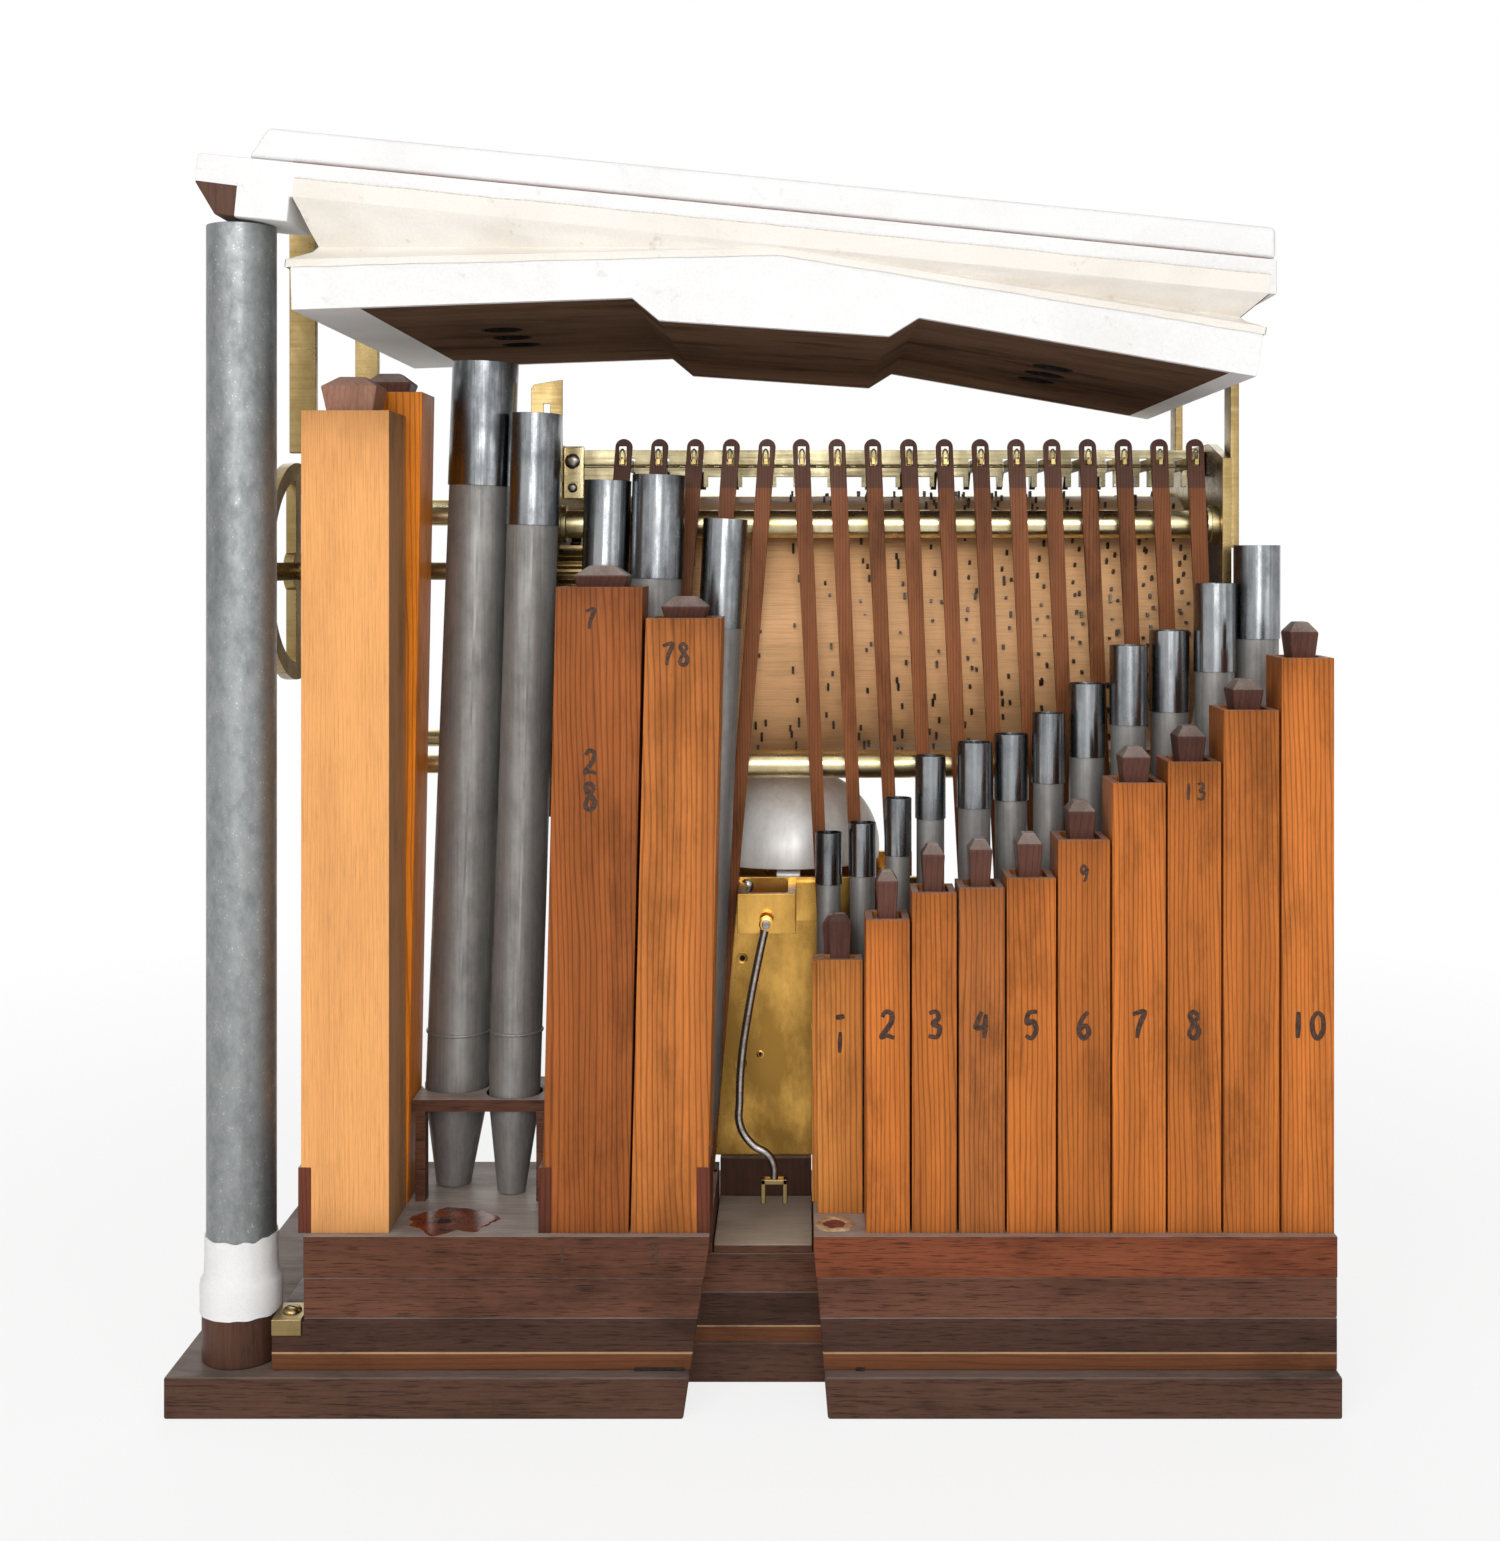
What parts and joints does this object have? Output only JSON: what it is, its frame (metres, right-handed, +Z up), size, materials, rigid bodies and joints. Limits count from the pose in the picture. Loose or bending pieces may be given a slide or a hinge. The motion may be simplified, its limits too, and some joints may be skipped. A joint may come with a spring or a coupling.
{
  "type": "barrel organ movement",
  "caption": "Open barrel organ movement of a musical clock: pinned wooden barrel under brass keys, wooden stickers, metal and wooden pipes on a wind chest, bellows on top.",
  "frame": {"origin": "centre of the base board's underside, on the surface it stands on", "axes": "+Z up, -Y towards the pipe front, +X to the right seen from the front"},
  "size_m": [0.354, 0.19, 0.3891],
  "materials": {
    "base_wood": "old dark stained board with scuffs",
    "chest_wood": "dark mahogany planks, dull varnish",
    "toe_wood": "reddish mahogany, dusty on top",
    "dark_wood": "dark stained turned wood",
    "pipe_wood": "varnished pine with a fine straight grain",
    "stopper_wood": "dark red-brown wood with dusty bevels",
    "barrel_wood": "pale beech, turned and sanded",
    "sticker_wood": "red-brown strips with dark heads",
    "pipe_metal": "dull grey pipe metal with a seam",
    "tin": "bright tinned sheet, streaky",
    "zinc": "mottled zinc with pale specks",
    "brass": "old polished brass, slightly tarnished",
    "steel": "drawn steel, dull",
    "bell_metal": "grey cast bell, turned",
    "bellows_leather": "white sheepskin glued over wooden boards",
    "gusset_leather": "cream sheepskin folds"
  },
  "bodies": {
    "movement": {"base_board": "base_wood", "wind_chest": "chest_wood", "toe_boards": "toe_wood", "trunk_socket": "dark_wood", "wind_trunk": "zinc", "wood_pipes": "pipe_wood", "pipe_stoppers": "stopper_wood", "metal_pipes": "pipe_metal", "tuning_slides": "tin", "pipe_rack": "dark_wood", "frame_plates": "brass", "frame_pillars": "brass", "key_bar": "brass", "clock_movement": "brass", "bell": "bell_metal", "bellows_frame": "bellows_leather", "bellows_brackets": "brass", "feeder_leather": "gusset_leather"},
    "barrel_shaft": {"barrel_arbor": "steel"},
    "barrel": {"barrel_body": "barrel_wood", "barrel_pins": "steel", "barrel_wheel": "brass"},
    "drive": {"drive_arbor": "brass"},
    "crutch": {"crutch": "steel"},
    "feeder": {"feeder_board": "bellows_leather"},
    "reservoir": {"reservoir_board": "bellows_leather"},
    "key_01": {"key_01": "brass"},
    "sticker_01": {"sticker_01": "sticker_wood"},
    "key_02": {"key_02": "brass"},
    "sticker_02": {"sticker_02": "sticker_wood"},
    "key_03": {"key_03": "brass"},
    "sticker_03": {"sticker_03": "sticker_wood"},
    "key_04": {"key_04": "brass"},
    "sticker_04": {"sticker_04": "sticker_wood"},
    "key_05": {"key_05": "brass"},
    "sticker_05": {"sticker_05": "sticker_wood"},
    "key_06": {"key_06": "brass"},
    "sticker_06": {"sticker_06": "sticker_wood"},
    "key_07": {"key_07": "brass"},
    "sticker_07": {"sticker_07": "sticker_wood"},
    "key_08": {"key_08": "brass"},
    "sticker_08": {"sticker_08": "sticker_wood"},
    "key_09": {"key_09": "brass"},
    "sticker_09": {"sticker_09": "sticker_wood"},
    "key_10": {"key_10": "brass"},
    "sticker_10": {"sticker_10": "sticker_wood"},
    "key_11": {"key_11": "brass"},
    "sticker_11": {"sticker_11": "sticker_wood"},
    "key_12": {"key_12": "brass"},
    "sticker_12": {"sticker_12": "sticker_wood"},
    "key_13": {"key_13": "brass"},
    "sticker_13": {"sticker_13": "sticker_wood"},
    "key_14": {"key_14": "brass"},
    "sticker_14": {"sticker_14": "sticker_wood"},
    "key_15": {"key_15": "brass"},
    "sticker_15": {"sticker_15": "sticker_wood"},
    "key_16": {"key_16": "brass"},
    "sticker_16": {"sticker_16": "sticker_wood"},
    "key_17": {"key_17": "brass"},
    "sticker_17": {"sticker_17": "sticker_wood"}
  },
  "joints": [
    {"name": "tune_shift", "type": "slide", "parent": "movement", "child": "barrel_shaft", "axis": [1, 0, 0], "range_m": [0, 0.004]},
    {"name": "barrel_turn", "type": "hinge", "parent": "barrel_shaft", "child": "barrel", "pos_m": [0.048, 0.027, 0.2339], "axis": [1, 0, 0], "continuous": true},
    {"name": "drive_turn", "type": "hinge", "parent": "movement", "child": "drive", "pos_m": [-0.11, -0.01659, 0.254], "axis": [1, 0, 0], "continuous": true},
    {"name": "crutch_swing", "type": "hinge", "parent": "movement", "child": "crutch", "pos_m": [0.0031, -0.05, 0.1404], "axis": [0, 1, 0], "range_deg": [-3.5, 3.5]},
    {"name": "feeder_rock", "type": "hinge", "parent": "movement", "child": "feeder", "pos_m": [0.008, 0, 0.3531], "axis": [0, 1, 0], "range_deg": [-3, 5.5], "deforming": ["feeder_leather"]},
    {"name": "reservoir_lift", "type": "hinge", "parent": "movement", "child": "reservoir", "pos_m": [0.1583, 0, 0.34918], "axis": [0, 1, 0], "range_deg": [0, 6]},
    {"name": "key_01_tilt", "type": "hinge", "parent": "movement", "child": "key_01", "pos_m": [-0.0454, 0, 0.2907], "axis": [1, 0, 0], "range_deg": [0, 5], "stiffness_Nm_per_rad": 0.01, "springref_deg": -8.59},
    {"name": "sticker_01_push", "type": "slide", "parent": "movement", "child": "sticker_01", "axis": [-0.0796, 0, -0.9968], "range_m": [0, 0.00263]},
    {"name": "key_02_tilt", "type": "hinge", "parent": "movement", "child": "key_02", "pos_m": [-0.0334, 0, 0.2907], "axis": [1, 0, 0], "range_deg": [0, 5], "stiffness_Nm_per_rad": 0.01, "springref_deg": -8.59},
    {"name": "sticker_02_push", "type": "slide", "parent": "movement", "child": "sticker_02", "axis": [-0.0796, 0, -0.9968], "range_m": [0, 0.00263]},
    {"name": "key_03_tilt", "type": "hinge", "parent": "movement", "child": "key_03", "pos_m": [-0.0214, 0, 0.2907], "axis": [1, 0, 0], "range_deg": [0, 5], "stiffness_Nm_per_rad": 0.01, "springref_deg": -8.59},
    {"name": "sticker_03_push", "type": "slide", "parent": "movement", "child": "sticker_03", "axis": [-0.0796, 0, -0.9968], "range_m": [0, 0.00263]},
    {"name": "key_04_tilt", "type": "hinge", "parent": "movement", "child": "key_04", "pos_m": [-0.0094, 0, 0.2907], "axis": [1, 0, 0], "range_deg": [0, 5], "stiffness_Nm_per_rad": 0.01, "springref_deg": -8.59},
    {"name": "sticker_04_push", "type": "slide", "parent": "movement", "child": "sticker_04", "axis": [-0.0796, 0, -0.9968], "range_m": [0, 0.00263]},
    {"name": "key_05_tilt", "type": "hinge", "parent": "movement", "child": "key_05", "pos_m": [0.0026, 0, 0.2907], "axis": [1, 0, 0], "range_deg": [0, 5], "stiffness_Nm_per_rad": 0.01, "springref_deg": -8.59},
    {"name": "sticker_05_push", "type": "slide", "parent": "movement", "child": "sticker_05", "axis": [-0.0796, 0, -0.9968], "range_m": [0, 0.00263]},
    {"name": "key_06_tilt", "type": "hinge", "parent": "movement", "child": "key_06", "pos_m": [0.0146, 0, 0.2907], "axis": [1, 0, 0], "range_deg": [0, 5], "stiffness_Nm_per_rad": 0.01, "springref_deg": -8.59},
    {"name": "sticker_06_push", "type": "slide", "parent": "movement", "child": "sticker_06", "axis": [0.0463, 0, -0.9989], "range_m": [0, 0.00263]},
    {"name": "key_07_tilt", "type": "hinge", "parent": "movement", "child": "key_07", "pos_m": [0.0266, 0, 0.2907], "axis": [1, 0, 0], "range_deg": [0, 5], "stiffness_Nm_per_rad": 0.01, "springref_deg": -8.59},
    {"name": "sticker_07_push", "type": "slide", "parent": "movement", "child": "sticker_07", "axis": [0.0463, 0, -0.9989], "range_m": [0, 0.00263]},
    {"name": "key_08_tilt", "type": "hinge", "parent": "movement", "child": "key_08", "pos_m": [0.0386, 0, 0.2907], "axis": [1, 0, 0], "range_deg": [0, 5], "stiffness_Nm_per_rad": 0.01, "springref_deg": -8.59},
    {"name": "sticker_08_push", "type": "slide", "parent": "movement", "child": "sticker_08", "axis": [0.0463, 0, -0.9989], "range_m": [0, 0.00263]},
    {"name": "key_09_tilt", "type": "hinge", "parent": "movement", "child": "key_09", "pos_m": [0.0506, 0, 0.2907], "axis": [1, 0, 0], "range_deg": [0, 5], "stiffness_Nm_per_rad": 0.01, "springref_deg": -8.59},
    {"name": "sticker_09_push", "type": "slide", "parent": "movement", "child": "sticker_09", "axis": [0.0463, 0, -0.9989], "range_m": [0, 0.00263]},
    {"name": "key_10_tilt", "type": "hinge", "parent": "movement", "child": "key_10", "pos_m": [0.0626, 0, 0.2907], "axis": [1, 0, 0], "range_deg": [0, 5], "stiffness_Nm_per_rad": 0.01, "springref_deg": -8.59},
    {"name": "sticker_10_push", "type": "slide", "parent": "movement", "child": "sticker_10", "axis": [0.0463, 0, -0.9989], "range_m": [0, 0.00263]},
    {"name": "key_11_tilt", "type": "hinge", "parent": "movement", "child": "key_11", "pos_m": [0.0746, 0, 0.2907], "axis": [1, 0, 0], "range_deg": [0, 5], "stiffness_Nm_per_rad": 0.01, "springref_deg": -8.59},
    {"name": "sticker_11_push", "type": "slide", "parent": "movement", "child": "sticker_11", "axis": [0.0463, 0, -0.9989], "range_m": [0, 0.00263]},
    {"name": "key_12_tilt", "type": "hinge", "parent": "movement", "child": "key_12", "pos_m": [0.0866, 0, 0.2907], "axis": [1, 0, 0], "range_deg": [0, 5], "stiffness_Nm_per_rad": 0.01, "springref_deg": -8.59},
    {"name": "sticker_12_push", "type": "slide", "parent": "movement", "child": "sticker_12", "axis": [0.0463, 0, -0.9989], "range_m": [0, 0.00263]},
    {"name": "key_13_tilt", "type": "hinge", "parent": "movement", "child": "key_13", "pos_m": [0.0986, 0, 0.2907], "axis": [1, 0, 0], "range_deg": [0, 5], "stiffness_Nm_per_rad": 0.01, "springref_deg": -8.59},
    {"name": "sticker_13_push", "type": "slide", "parent": "movement", "child": "sticker_13", "axis": [0.0463, 0, -0.9989], "range_m": [0, 0.00263]},
    {"name": "key_14_tilt", "type": "hinge", "parent": "movement", "child": "key_14", "pos_m": [0.1106, 0, 0.2907], "axis": [1, 0, 0], "range_deg": [0, 5], "stiffness_Nm_per_rad": 0.01, "springref_deg": -8.59},
    {"name": "sticker_14_push", "type": "slide", "parent": "movement", "child": "sticker_14", "axis": [0.0463, 0, -0.9989], "range_m": [0, 0.00263]},
    {"name": "key_15_tilt", "type": "hinge", "parent": "movement", "child": "key_15", "pos_m": [0.1226, 0, 0.2907], "axis": [1, 0, 0], "range_deg": [0, 5], "stiffness_Nm_per_rad": 0.01, "springref_deg": -8.59},
    {"name": "sticker_15_push", "type": "slide", "parent": "movement", "child": "sticker_15", "axis": [0.0463, 0, -0.9989], "range_m": [0, 0.00263]},
    {"name": "key_16_tilt", "type": "hinge", "parent": "movement", "child": "key_16", "pos_m": [0.1346, 0, 0.2907], "axis": [1, 0, 0], "range_deg": [0, 5], "stiffness_Nm_per_rad": 0.01, "springref_deg": -8.59},
    {"name": "sticker_16_push", "type": "slide", "parent": "movement", "child": "sticker_16", "axis": [0.0463, 0, -0.9989], "range_m": [0, 0.00263]},
    {"name": "key_17_tilt", "type": "hinge", "parent": "movement", "child": "key_17", "pos_m": [0.1466, 0, 0.2907], "axis": [1, 0, 0], "range_deg": [0, 5], "stiffness_Nm_per_rad": 0.01, "springref_deg": -8.59},
    {"name": "sticker_17_push", "type": "slide", "parent": "movement", "child": "sticker_17", "axis": [0.0463, 0, -0.9989], "range_m": [0, 0.00263]}
  ],
  "couplings": [
    {"joint": "drive_turn", "follows": "barrel_turn", "ratio": -5},
    {"joint": "sticker_01_push", "follows": "key_01_tilt", "m_per_rad": 0.029},
    {"joint": "sticker_02_push", "follows": "key_02_tilt", "m_per_rad": 0.029},
    {"joint": "sticker_03_push", "follows": "key_03_tilt", "m_per_rad": 0.029},
    {"joint": "sticker_04_push", "follows": "key_04_tilt", "m_per_rad": 0.029},
    {"joint": "sticker_05_push", "follows": "key_05_tilt", "m_per_rad": 0.029},
    {"joint": "sticker_06_push", "follows": "key_06_tilt", "m_per_rad": 0.029},
    {"joint": "sticker_07_push", "follows": "key_07_tilt", "m_per_rad": 0.029},
    {"joint": "sticker_08_push", "follows": "key_08_tilt", "m_per_rad": 0.029},
    {"joint": "sticker_09_push", "follows": "key_09_tilt", "m_per_rad": 0.029},
    {"joint": "sticker_10_push", "follows": "key_10_tilt", "m_per_rad": 0.029},
    {"joint": "sticker_11_push", "follows": "key_11_tilt", "m_per_rad": 0.029},
    {"joint": "sticker_12_push", "follows": "key_12_tilt", "m_per_rad": 0.029},
    {"joint": "sticker_13_push", "follows": "key_13_tilt", "m_per_rad": 0.029},
    {"joint": "sticker_14_push", "follows": "key_14_tilt", "m_per_rad": 0.029},
    {"joint": "sticker_15_push", "follows": "key_15_tilt", "m_per_rad": 0.029},
    {"joint": "sticker_16_push", "follows": "key_16_tilt", "m_per_rad": 0.029},
    {"joint": "sticker_17_push", "follows": "key_17_tilt", "m_per_rad": 0.029}
  ]
}
